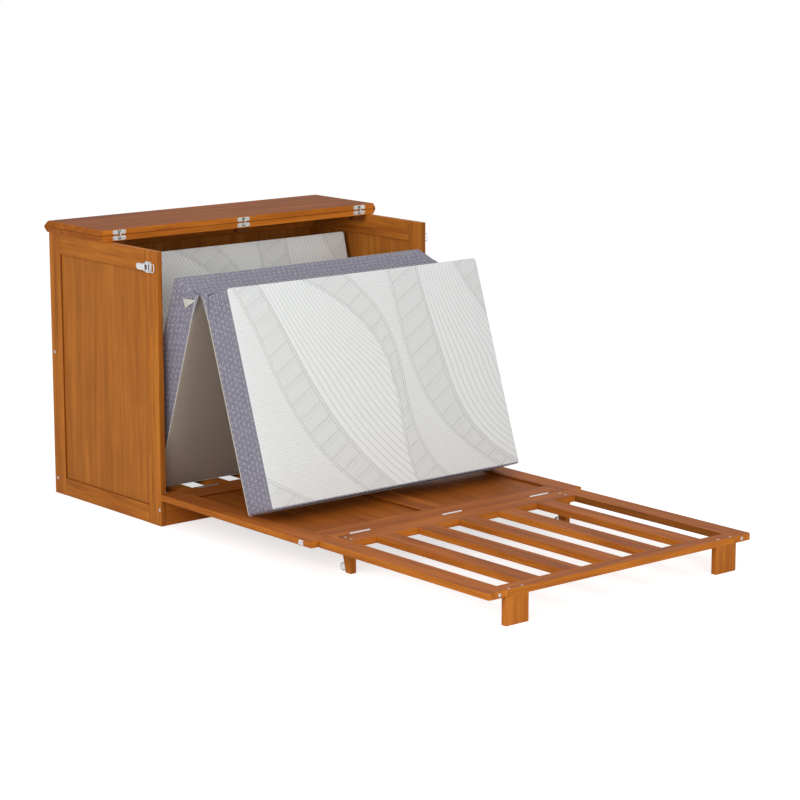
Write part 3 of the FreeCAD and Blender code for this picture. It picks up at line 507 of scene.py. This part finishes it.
# Legs beside the frame's hinge and broad feet at its end, of upright grain. Each is glued under the
# frame and held by two cross-headed screws driven from above, left as the driver stopped them.
sole, board_top = 0.0004, 0.1016
foot_out, foot_at, foot_pitch = 0.4085, -1.041, 0.025
leg_out, leg_at, leg_pitch = 0.426, -0.344, 0.013
for node in ("legs", "end_feet"):
    dress(node, stained(node.replace("_", " ") + " pine", (202, 122, 44), (160, 88, 28), "Z", offset=9.9,
                        end_grain_and_edge_shade=lambda p: (p.part("Z") < sole)))
board_head = cross_head(0.004)
spots = [(side * (foot_out + reach), foot_at, board_top)
         for side in (-1, 1) for reach in (-foot_pitch, foot_pitch)]
spots += [(side * leg_out, leg_at + reach, board_top)
          for side in (-1, 1) for reach in (-leg_pitch, leg_pitch)]
heads = several(board_head, "foot_frame_screw_heads", spots,
                [(0, 0, turn) for turn in (0.4, 1.1, 0.2, 0.9, 1.3, 0.6, 0.1, 0.8)])
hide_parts("foot_frame_screws")
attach(heads, "foot_frame")
bpy.data.objects.remove(board_head)

# A small nylon wheel beside each leg in a folded steel bracket, so the bed rolls out as it opens.
# The wheels are scuffed where they run.
for node in ("roller_brackets", "roller_axles"):
    dress(node, hinge_finish)
roller_finish, shader, place = blank("roller nylon", Specular_IOR_Level=0.5)
speck = place.noise(400, 2)
scuff = place.vector("MULTIPLY", (8, 1, 1)).noise(120, 3).ease(0.45, 0.75)
feed(
    shader,
    Base_Color=(scuff * 0.4).colours(
        speck.colours(dye(206, 206, 203), dye(230, 230, 227)), dye(150, 148, 144)),
    Roughness=speck * 0.1 + scuff * 0.15 + 0.34,
    Normal=place.node("Bump", {}, {"Strength": 0.15, "Distance": 0.0001, "Height": speck + scuff}),
)
dress("roller_left", roller_finish)
dress("roller_right", roller_finish)

# The mattress: three foam slabs in one cover, stood on edge and folded like an N. Each has a white
# knitted face with flowing bands, a lilac figured border, a plain taupe underside and cream piping.
mattress_half, section_length, section_depth = 0.4945, 0.680, 0.134
section_corner, face_edge = 0.009, 0.004
# Where the foot of the plain face stands, its lean from upright in degrees, and 1 or -1 where the
# white face looks towards the cabinet's back or away from it.
sections = {
    "mattress_middle": (Vector((0, 0.5193, 0.09756)), -19.2, 1),
    "mattress_rear": (Vector((0, 0.77728, 0.10808)), 14.5, -1),
    "mattress_front": (Vector((0, 0.0495, 0.09765)), 18.8, -1),
}

cover, shader, place = blank(
    "mattress cover", Sheen_Weight=0.18, Sheen_Roughness=0.5, Specular_IOR_Level=0.15)
cut = place.node("Attribute", {"attribute_name": "cut"}, {}, 1)
across, up, depth = (cut.part(axis) for axis in "XYZ")
side_on = across / (2 * mattress_half) + 0.5
fall = 1 - up / section_length


def swing(*rates):
    """Distance to the right of a curved line down the face, in metres, square to the line."""
    line, slope = fall * rates[-1], fall * (rates[-1] * (len(rates) - 1))
    for order in range(len(rates) - 2, 0, -1):
        line = (line + rates[order]) * fall
        slope = slope + rates[order] * order
        if order > 1:
            slope = slope * fall
    lean = slope * (2 * mattress_half / section_length)
    return (side_on - (line + rates[0])) * (2 * mattress_half) / (lean * lean + 1).math("SQRT")


def thread(distance, at, width):
    """1 along a thin sewn line, fading to 0 at its sides."""
    return 1 - abs(distance - at).ease(width * 0.35, width)


first_left, first_right = swing(0.024, 0.33, -0.48, 0.51), swing(0.111, 0.30, -0.24, 0.31)
second_left, second_right = swing(0.29, 1.24, -1.80, 0.80, 0.05), swing(0.44, 0.82, -1.40, 0.64, 0.20)
third_left, third_right = swing(0.63, 0.03, -0.12, 0.24, 0.16), swing(0.742, -0.05, 0.52, -1.05, 0.84)
last_left = swing(0.905, 0.25, 0.45, -0.2)
corner_line = swing(-0.30, 0.0, 0.0, 0.543, -0.083)
bands = ((first_left > 0) * (first_right < 0) + (second_left > 0) * (second_right < 0)
         + (third_left > 0) * (third_right < 0) + (last_left > 0) + (corner_line < 0)).clear()
edges = (first_left, first_right, second_left, second_right, third_left, third_right, last_left, corner_line)
rim_width, line_width, leaf_margin = 0.0062, 0.0017, 0.006
sewn = rim = edges[0] * 0
for edge, way in zip(edges, (-1, 1) * 4):
    sewn = sewn.math("MAXIMUM", thread(edge, 0, line_width))
    sewn = sewn.math("MAXIMUM", thread(edge, way * rim_width, line_width))
    rim = rim.math("MAXIMUM", thread(edge, way * rim_width / 2, 0.0028))
leaf = ((first_right > leaf_margin) * (second_left < -leaf_margin)
        + (third_right > leaf_margin) * (last_left < -leaf_margin)).clear()
near_first = (third_left < -0.1)
sway = near_first.node("Mix", {"data_type": "FLOAT"}, {0: near_first, 2: third_right, 3: first_right})
spread = (1 - fall.ease(0, 0.5) * 0.42) / 0.0128
flow = (sway * spread).math("FRACT")
long_lines = thread(flow, 0.5, 0.13) * leaf
ribbed = (1 - bands) * (1 - leaf) * (1 - rim)
rib_pitch, bar_pitch, bar_share, bar_ribs = 0.0070, 0.052, 0.44, 4
rib = (up / rib_pitch + cut.noise(9, 1) * 0.5).math("FRACT")
rib_line = thread(rib, 0.5, 0.34) * ribbed
rake = (up * 0.875 - across * 0.485) / bar_pitch
cell = (rake + cut.noise(3, 1) * 0.25).math("FRACT")
bars = (cell < bar_share) * bands
bar_line = thread((cell * (bar_ribs / bar_share)).math("FRACT"), 0.5, 0.22) * bars
bar_edge = thread(cell, bar_share, 0.028) * bands
fine = thread((rake * 21).math("FRACT"), 0.5, 0.45) * bands * (1 - bars)
loops = cut.node("TexVoronoi", {"feature": "F1"}, {"Vector": cut, "Scale": 900})
mottle = cut.noise(240, 3, 0.6)
face_height = (loops * -0.25 + mottle * 0.3 + rim * 0.6 - sewn * 1.4 - long_lines * 0.9 - rib_line * 0.5
               - bar_line * 1.5 - bar_edge * 1.2 + fine * 0.25)
# The grey of the sunk sewn lines, long lines, ribs and bar lines is painted shade in their grooves, and the
# lighter raised rims are painted highlight.
face_tone = (mottle * 0.22 + 0.02 + sewn * 0.66 + long_lines * 0.46 + rib_line * 0.30
             + (bands - bars) * 0.17 + fine * 0.10 + bar_line * 0.66 + bar_edge * 0.28 - rim * 0.18).clear()
white = face_tone.colours(dye(238, 241, 240), dye(188, 190, 187))

along = across + up
flower_pitch, flower_row = 0.0195, 0.0205
row = depth / flower_row
stagger = (row.math("FLOOR") * 0.5).math("FRACT")
petal_x = ((along / flower_pitch + stagger).math("FRACT") - 0.5) * flower_pitch
petal_y = (row.math("FRACT") - 0.5) * flower_row
turn = petal_y.math("ARCTAN2", petal_x)
bloom = (petal_x * petal_x + petal_y * petal_y).math("SQRT")
flower = 1 - (bloom - (turn * 5).math("COSINE") * 0.0010).ease(0.0034, 0.0050)
heart = 1 - bloom.ease(0.0006, 0.0015)
squiggle = cut.noise(270, 1.5, 0.45, 0.6)
vine = 1 - abs(squiggle - 0.5).ease(0.012, 0.05)
leaves = squiggle.ease(0.54, 0.60)
lilac = cut.noise(900, 2).colours(dye(126, 122, 138), dye(150, 147, 161))
lilac = (leaves * 0.7).colours(lilac, dye(180, 178, 192))
lilac = (vine * 0.8).colours(lilac, dye(94, 90, 108))
lilac = (flower * 0.75).colours(lilac, dye(182, 178, 191))
lilac = (heart * 0.6).colours(lilac, dye(116, 108, 124))
border_height = flower * 0.7 + leaves * 0.4 - vine * 0.6 + loops * -0.3

twill = (along * 2400).math("SINE") * 0.5 + 0.5
taupe = (twill * 0.5 + mottle * 0.6).clear().colours(dye(150, 134, 121), dye(178, 163, 149))

white_edge, plain_edge, seam_width = section_depth - 0.0068, 0.0052, 0.0011
stitch_pitch, stitch_in = 0.0042, 0.0022
on_face = (depth > white_edge) * between(up, 0.0085, section_length - 0.0030)
on_border = depth > plain_edge
stitch = (thread((along / stitch_pitch).math("FRACT"), 0.5, 0.36)
          * thread(depth, white_edge - stitch_in, seam_width)).clear()
seam = thread(depth, white_edge, seam_width).math("MAXIMUM", thread(depth, plain_edge, seam_width))
shade = on_face.colours(on_border.colours(taupe, lilac), white)
shade = (stitch * 0.7).colours((seam * 0.45).colours(shade, dye(92, 88, 100)), dye(198, 195, 202))
relief = face_height * on_face + border_height * (on_border - on_face) + twill * 0.3 * (1 - on_border)
relief = relief - seam * 1.6 + stitch * 0.8
feed(
    shader,
    Base_Color=shade,
    Roughness=mottle * 0.1 + 0.84,
    Normal=place.node("Bump", {}, {"Strength": 0.55, "Distance": 0.0009, "Height": relief}),
)

piping, shader, place = blank("cream piping", Sheen_Weight=0.15, Specular_IOR_Level=0.2)
wrap = place.vector("DOT_PRODUCT", (1, 0.8, 0.6), 1) * 2600
weave = wrap.math("SINE") * 0.5 + 0.5
thick_and_thin = (weave * 0.6 + place.noise(300, 2) * 0.5).clear()
feed(
    shader,
    Base_Color=thick_and_thin.colours(dye(186, 180, 170), dye(232, 228, 219)),
    Roughness=weave * 0.08 + 0.8,
    Normal=place.node("Bump", {}, {"Strength": 0.4, "Distance": 0.0003, "Height": weave}),
)


def climb(edge, mesh):
    """How far an edge rises from one end to the other."""
    return abs(ends_of(edge, mesh)[0].z - ends_of(edge, mesh)[1].z)


def score(axis, places):
    """Cuts the piece being edited across one axis at each place."""
    for place in places:
        bpy.ops.mesh.select_all(action="SELECT")
        bpy.ops.mesh.bisect(plane_co=[place * (axis == i) for i in range(3)],
                            plane_no=[float(axis == i) for i in range(3)])


def mark(piece, flat):
    """Keeps for each point of a piece where it lies on the cover, so that the pattern follows it."""
    made = piece.data.attributes.new("cut", "FLOAT_VECTOR", "POINT")
    for spot, kept in zip(piece.data.vertices, made.data):
        kept.vector = flat(spot.co)


bpy.ops.object.select_all(action="DESELECT")
bpy.ops.mesh.primitive_cube_add(size=1, location=(0, section_length / 2, section_depth / 2))
pattern = bpy.context.object
pattern.scale = (mattress_half * 2, section_length, section_depth)
bpy.ops.object.transform_apply(location=True, rotation=True, scale=True)
bpy.ops.object.mode_set(mode="EDIT")
choose(pattern, "EDGE", lambda e, m: climb(e, m) > 0.1)
bpy.ops.mesh.bevel(offset=section_corner, offset_type="OFFSET", segments=4, affect="EDGES")
choose(pattern, "EDGE", lambda e, m: climb(e, m) < 1e-5)
bpy.ops.mesh.bevel(offset=face_edge, offset_type="OFFSET", segments=2, affect="EDGES")
score(0, [step * 0.0197 for step in range(-24, 25)])
score(1, [step * 0.02 for step in range(1, 34)])
score(2, (0.0135, 0.031, 0.049, 0.067, 0.085, 0.103, 0.1205))
bpy.ops.object.mode_set(mode="OBJECT")
waist_draw, crown_drop, side_in, end_in, face_in = 0.0024, 0.0026, 0.0006, 0.0022, 0.0016
skin = 0.002
for spot in pattern.data.vertices:
    px, py, pz = spot.co
    waist = sin(pi * min(max(pz / section_depth, 0), 1))
    toward_x, toward_y = px / mattress_half, py / section_length * 2 - 1
    middle_x, middle_y = 1 - abs(toward_x) ** 4, 1 - abs(toward_y) ** 4
    spot.co.x -= (waist_draw * waist * middle_y + side_in) * toward_x
    spot.co.y -= (waist_draw * waist * middle_x + end_in) * toward_y
    sink = crown_drop * (1 - middle_x * middle_y)
    if pz < skin:
        spot.co.z += sink + side_in
    elif pz > section_depth - skin:
        spot.co.z -= sink + face_in

filling_steps, most = 20, 0.0020
start = [spot.co.copy() for spot in pattern.data.vertices]
alone(pattern)
stuffing = pattern.modifiers.new("stuffing", "CLOTH")
stuffing.settings.use_pressure = True
stuffing.settings.uniform_pressure_force = 4
stuffing.settings.effector_weights.gravity = 0
bpy.context.scene.frame_end = filling_steps
for step in range(1, filling_steps + 1):
    bpy.context.scene.frame_set(step)
bpy.ops.object.modifier_apply(modifier="stuffing")
bpy.context.scene.frame_set(1)
for spot, was in zip(pattern.data.vertices, start):
    moved = spot.co - was
    if moved.length > most:
        spot.co = was + moved * (most / moved.length)

alone(pattern)
swell = pattern.modifiers.new("swell", "SUBSURF")
swell.levels = swell.render_levels = 1
bpy.ops.object.modifier_apply(modifier="swell")
bpy.ops.object.shade_smooth()
pattern.data.materials.append(cover)

# The piping is a cord in a bias strip, sewn in where the border meets the underside. It follows the
# waist of the section a little and is rounded at the four corners with it.
cord_radius, cord_up, cord_draw = 0.0014, 0.0046, waist_draw * 0.3
cord_side_in, cord_end_in = 0.0014, 0.0046
bpy.ops.object.select_all(action="DESELECT")
bpy.ops.mesh.primitive_plane_add(size=1, location=(0, section_length / 2, cord_up))
cordline = bpy.context.object
cordline.scale = (mattress_half * 2 - cord_side_in, section_length - cord_end_in, 1)
bpy.ops.object.transform_apply(location=True, rotation=True, scale=True)
bpy.ops.object.mode_set(mode="EDIT")
bpy.ops.mesh.select_all(action="SELECT")
bpy.ops.mesh.bevel(offset=section_corner, offset_type="OFFSET", segments=5, affect="VERTICES")
score(0, [step * 0.024 for step in range(-20, 21)])
score(1, [step * 0.0243 for step in range(1, 28)])
choose(cordline, "EDGE", lambda e, m: sum(set(e.vertices) <= set(f.vertices) for f in m.polygons) == 2)
bpy.ops.mesh.dissolve_edges(use_verts=False)
choose(cordline, "FACE", lambda f, m: True)
bpy.ops.mesh.delete(type="ONLY_FACE")
bpy.ops.object.mode_set(mode="OBJECT")
for spot in cordline.data.vertices:
    toward_x, toward_y = spot.co.x / mattress_half, spot.co.y / section_length * 2 - 1
    spot.co.x -= cord_draw * (1 - abs(toward_y) ** 4) * toward_x
    spot.co.y -= cord_draw * (1 - abs(toward_x) ** 4) * toward_y
bpy.ops.object.convert(target="CURVE")
cordline = bpy.context.object
cordline.data.bevel_depth = cord_radius
cordline.data.bevel_resolution = 2
bpy.ops.object.convert(target="MESH")
cordline = bpy.context.object
bpy.ops.object.shade_smooth()
cordline.data.materials.clear()
cordline.data.materials.append(piping)
joined([pattern, cordline])

# The section is modelled once and stood up three times, each with its own cover. Its foot is pressed
# flat where it bears on the boards, and the front one is given a mesh of its own.
bearing, folded_top, pressed = 0.1020, 0.786, 0.967
for node, (heel, lean, toward) in sections.items():
    section = pattern.copy()
    section.data = pattern.data.copy()
    section.name = node.replace("mattress_", "mattress_section_")
    bpy.context.collection.objects.link(section)
    mark(section, lambda at: at)
    settle(section, heel, (-toward * radians(90 - lean), pi * (toward > 0), 0))
    for spot in section.data.vertices:
        spot.co.z = max(spot.co.z, bearing)
    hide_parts(node)
    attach(section, node)
    if node == "mattress_front":
        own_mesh(section)
bpy.data.objects.remove(pattern)

# The two cloth hinges of the cover: a strip sewn under the feet of the rear and middle sections,
# creased where they meet, and one over the tops of the middle and front ones, both of border cloth.
strip_half, seam_in, strip_out = 0.4825, 0.0135, 0.0375
foot_lift, top_lift, cloth_thickness = 0.0004, section_length - 0.0007, 0.0009


def local(node, depth, up, x=0.0):
    """A point of a section: depth from its plain face, up from its foot, x from its middle."""
    heel, lean, toward = sections[node]
    rise = Vector((0, sin(radians(lean)), cos(radians(lean))))
    out = Vector((0, rise.z, -rise.y)) * toward
    return heel + rise * up + out * depth + Vector((x, 0, 0))


def thicken(piece):
    """Gives a flat piece the thickness of the cloth, half of it on each side."""
    alone(piece)
    thick = piece.modifiers.new("thickness", "SOLIDIFY")
    thick.thickness, thick.offset = cloth_thickness, 0
    bpy.ops.object.modifier_apply(modifier="thickness")


def strip(name, points):
    """A flat strip of cloth, folded along the lines between the points of its path."""
    bpy.ops.object.select_all(action="DESELECT")
    bpy.ops.mesh.primitive_plane_add(size=1)
    piece = bpy.context.object
    piece.name = name
    for spot in piece.data.vertices:
        spot.co = Vector((strip_half * (1 if spot.co.x > 0 else -1), *points[0 if spot.co.y < 0 else 1].yz))
    bpy.ops.object.mode_set(mode="EDIT")
    last = points[1]
    for point in points[2:]:
        choose(piece, "EDGE", lambda e, m: all((v.yz - last.yz).length < 1e-6 for v in ends_of(e, m)))
        bpy.ops.mesh.extrude_region_move(TRANSFORM_OT_translate={"value": tuple(point - last)})
        last = point
    score(0, [step * 0.0201 for step in range(-23, 24)])
    bpy.ops.object.mode_set(mode="OBJECT")
    length = sum((b - a).length for a, b in zip(points, points[1:]))
    thicken(piece)
    bpy.ops.object.shade_smooth_by_angle(angle=radians(50))
    mark(piece, lambda at: (at.x, 0.3, 0.025 + (at - points[0]).yz.length))
    piece.data.materials.append(cover)
    return piece, length


crease = (local("mattress_middle", section_depth, foot_lift)
          + local("mattress_rear", section_depth, foot_lift)) / 2
for node in ("mattress_middle", "mattress_rear"):
    seam = local(node, section_depth - seam_in, foot_lift)
    foot_strip, wide = strip(node.replace("mattress", "fold_strip"),
                             [local(node, section_depth - strip_out, foot_lift), seam, crease])
    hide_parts("mattress_fold_strip")
    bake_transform(foot_strip)

near_seam = local("mattress_front", seam_in, top_lift)
far_seam = local("mattress_middle", seam_in, top_lift)
top_strip, wide = strip("top_fold", [
    local("mattress_front", strip_out, top_lift), near_seam, far_seam,
    local("mattress_middle", strip_out, top_lift),
])
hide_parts("mattress_top_fold")
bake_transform(top_strip)

# At each end of the top fold the border cloth of both sections runs on towards the other in a narrow
# welt, and the corner of a cream gusset shows, tucked in and tacked to the middle section's border.


def patch(name, node, corners, x, puff, finish):
    """A small three-cornered piece of cloth lying against the side of a section."""
    bpy.ops.object.select_all(action="DESELECT")
    bpy.ops.mesh.primitive_plane_add(size=1)
    piece = bpy.context.object
    piece.name = name
    bpy.ops.object.mode_set(mode="EDIT")
    choose(piece, "VERT", lambda v, m: v.index == 3)
    bpy.ops.mesh.delete(type="VERT")
    bpy.ops.mesh.select_mode(type="VERT")
    bpy.ops.mesh.select_all(action="SELECT")
    bpy.ops.mesh.edge_face_add()
    bpy.ops.object.mode_set(mode="OBJECT")
    for spot, (d, h) in zip(piece.data.vertices, corners):
        spot.co = local(node, d, h, x)
    a, b, c = (spot.co.copy() for spot in piece.data.vertices)
    bpy.ops.object.mode_set(mode="EDIT")
    bpy.ops.mesh.select_all(action="SELECT")
    bpy.ops.mesh.subdivide(number_cuts=7)
    bpy.ops.object.mode_set(mode="OBJECT")
    middle, hand = (a + b + c) / 3, 1 if x > 0 else -1
    reach = max((spot - middle).length for spot in (a, b, c)) * 0.7
    for spot in piece.data.vertices:
        rise = max(0.0, 1 - (spot.co - middle).length / reach)
        spot.co.x += hand * (puff * rise * rise + puff * 0.3 * sin(spot.co.z * 420) * rise)
    thicken(piece)
    bpy.ops.object.mode_set(mode="EDIT")
    bpy.ops.mesh.select_all(action="SELECT")
    bpy.ops.mesh.normals_make_consistent(inside=False)
    bpy.ops.object.mode_set(mode="OBJECT")
    bpy.ops.object.shade_smooth_by_angle(angle=radians(40))
    mark(piece, lambda at: (x, at.z, 0.06 + at.y - a.y))
    piece.data.materials.append(finish)
    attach(piece, node)


gusset_corners, gusset_out, gusset_puff = [(0.000, 0.664), (0.064, 0.640), (0.042, 0.617)], 0.0004, 0.0030
welt_tip, welt_foot, welt_in, welt_puff = (-0.0094, 0.6880), (0.0012, 0.600), 0.0012, 0.0008
welts = {"mattress_middle": (0.0075, 0.6795), "mattress_front": (0.0310, 0.6790)}
for side, hand in (("left", -1), ("right", 1)):
    patch("fold_gusset_" + side, "mattress_middle", gusset_corners,
          hand * (mattress_half + gusset_out), gusset_puff, piping)
    for node, reach in welts.items():
        patch(f"{node.replace('mattress', 'fold_welt')}_{side}", node, [reach, welt_tip, welt_foot],
              hand * (mattress_half - welt_in), welt_puff, cover)

# The studio: a pale floor, a large soft light to the front left, and weaker ones in front and above.
# The floor and the air look lighter to the camera than the light they give.


def looked_at(tree):
    """1 on the rays the camera sees by: its own, those in a gloss and those through a clear piece."""
    path = tree.nodes.new("ShaderNodeLightPath")
    own, glossy, through = (Wire(path.outputs[f"Is {kind} Ray"])
                            for kind in ("Camera", "Glossy", "Transmission"))
    return (own + glossy + through).clear()


bpy.ops.object.select_all(action="DESELECT")
bpy.ops.mesh.primitive_plane_add(size=60, location=(0, 0, -0.0005))
floor = bpy.context.object
floor.name = "studio_floor"
bpy.ops.object.transform_apply(location=True, rotation=True, scale=True)
ground = bpy.data.materials.new("pale floor")
ground.use_nodes = True
tree = ground.node_tree
tree.nodes.clear()
surface = tree.nodes.new("ShaderNodeOutputMaterial")
seen = looked_at(tree)
matte = seen.node("BsdfDiffuse", {}, {"Color": (0.7, 0.7, 0.7, 1)})
glow = seen.node("Emission", {}, {"Color": (1, 1, 1, 1), "Strength": seen * 0.68})
tree.links.new(seen.node("AddShader", {}, {0: matte, 1: glow}).socket, surface.inputs["Surface"])
floor.data.materials.append(ground)

world = bpy.data.worlds.new("studio")
bpy.context.scene.world = world
world.use_nodes = True
air = world.node_tree.nodes["Background"]
seen = looked_at(world.node_tree)
world.node_tree.links.new((seen * 0.5 + 0.5).socket, air.inputs["Strength"])
air.inputs["Color"].default_value = (1, 1, 1, 1)

for name, place_at, size, power, aim in (
    ("key", (-4.2, -2.4, 2.2), 2.6, 112, (0, 0, 0.45)),
    ("front", (-0.6, -5.2, 1.7), 2.4, 62, (0, 0, 0.4)),
    ("overhead", (0.3, 0.2, 4.2), 3.2, 12, (0, 0, 0)),
):
    lamp = bpy.data.lights.new(name, "AREA")
    lamp.size = size
    lamp.energy = power
    holder = bpy.data.objects.new(name, lamp)
    bpy.context.collection.objects.link(holder)
    holder.location = place_at
    holder.rotation_euler = (Vector(aim) - Vector(place_at)).to_track_quat("-Z", "Y").to_euler()

# The camera stands about eight metres from the middle of the opened bed, to the front left of it and
# two metres up, and has a long lens.
azimuth, elevation = radians(-39.873), radians(11.4116)
lens = bpy.data.cameras.new("camera")
lens.lens, lens.sensor_width = 116.10, 36
lens.clip_end = 80
camera = bpy.data.objects.new("camera", lens)
bpy.context.collection.objects.link(camera)
camera.location = (-4.9521, -5.9955, 1.9701)
back = Vector((sin(azimuth) * cos(elevation), -cos(azimuth) * cos(elevation), sin(elevation)))
camera.rotation_euler = (-back).to_track_quat("-Z", "Y").to_euler()
bpy.context.scene.camera = camera
bpy.context.scene.view_settings.view_transform = "Standard"
